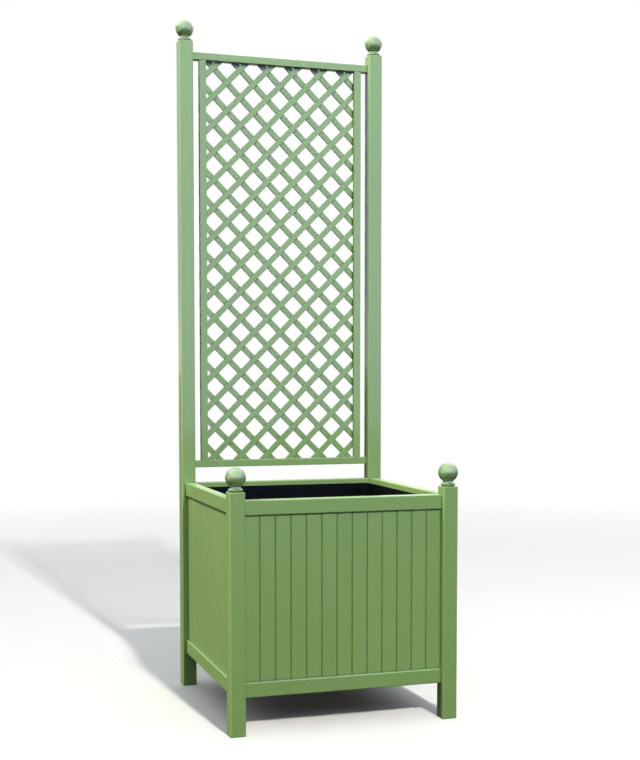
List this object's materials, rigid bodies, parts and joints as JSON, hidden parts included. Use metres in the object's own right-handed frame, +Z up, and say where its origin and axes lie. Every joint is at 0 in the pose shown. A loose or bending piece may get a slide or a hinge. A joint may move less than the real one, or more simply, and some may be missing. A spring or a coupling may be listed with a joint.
{
  "type": "planter with trellis",
  "caption": "Square boarded timber planter on post feet with ball finials, a lift-out liner, and a diamond lath trellis framed between tall back posts.",
  "frame": {"origin": "on the floor, under the middle of the planter's square plan", "axes": "+Z up, the front faces -Y, the trellis stands at +Y, +X to the right seen from the front"},
  "size_m": [0.7634, 0.7634, 2.3397],
  "materials": {
    "green_paint": "smooth satin-gloss pale green paint on planed timber",
    "bare_timber": "planed, treated softwood, unpainted",
    "black_plastic": "moulded, fine matt texture",
    "zinc_steel": "bright zinc plate",
    "green_steel": "steel painted over in place with the same pale green"
  },
  "bodies": {
    "planter": {"front_left_post": "green_paint", "front_right_post": "green_paint", "back_right_post": "green_paint", "back_left_post": "green_paint", "front_left_finial": "green_paint", "front_right_finial": "green_paint", "back_right_finial": "green_paint", "back_left_finial": "green_paint", "front_top_rail": "green_paint", "front_bottom_rail": "green_paint", "front_boards": "green_paint", "right_top_rail": "green_paint", "right_bottom_rail": "green_paint", "right_boards": "green_paint", "back_top_rail": "green_paint", "back_bottom_rail": "green_paint", "back_boards": "green_paint", "left_top_rail": "green_paint", "left_bottom_rail": "green_paint", "left_boards": "green_paint", "trellis_bottom_rail": "green_paint", "trellis_top_rail": "green_paint", "left_trellis_stile": "green_paint", "right_trellis_stile": "green_paint", "front_laths": "green_paint", "back_laths": "green_paint", "tenon_pegs": "bare_timber", "right_floor_bearer": "bare_timber", "left_floor_bearer": "bare_timber", "floor_slat_1": "bare_timber", "floor_slat_2": "bare_timber", "floor_slat_3": "bare_timber", "floor_slat_4": "bare_timber", "floor_slat_5": "bare_timber", "floor_slat_6": "bare_timber", "trellis_dowels": "bare_timber", "stile_dowels": "bare_timber", "finial_studs": "zinc_steel", "bearer_screws": "zinc_steel", "slat_screws": "zinc_steel", "crossing_brads": "green_steel", "frame_brads": "green_steel"},
    "liner": {"liner": "black_plastic"}
  },
  "joints": [
    {"name": "liner_lift", "type": "slide", "parent": "planter", "child": "liner", "axis": [0, 0, 1], "range_m": [0, 0.6]}
  ]
}
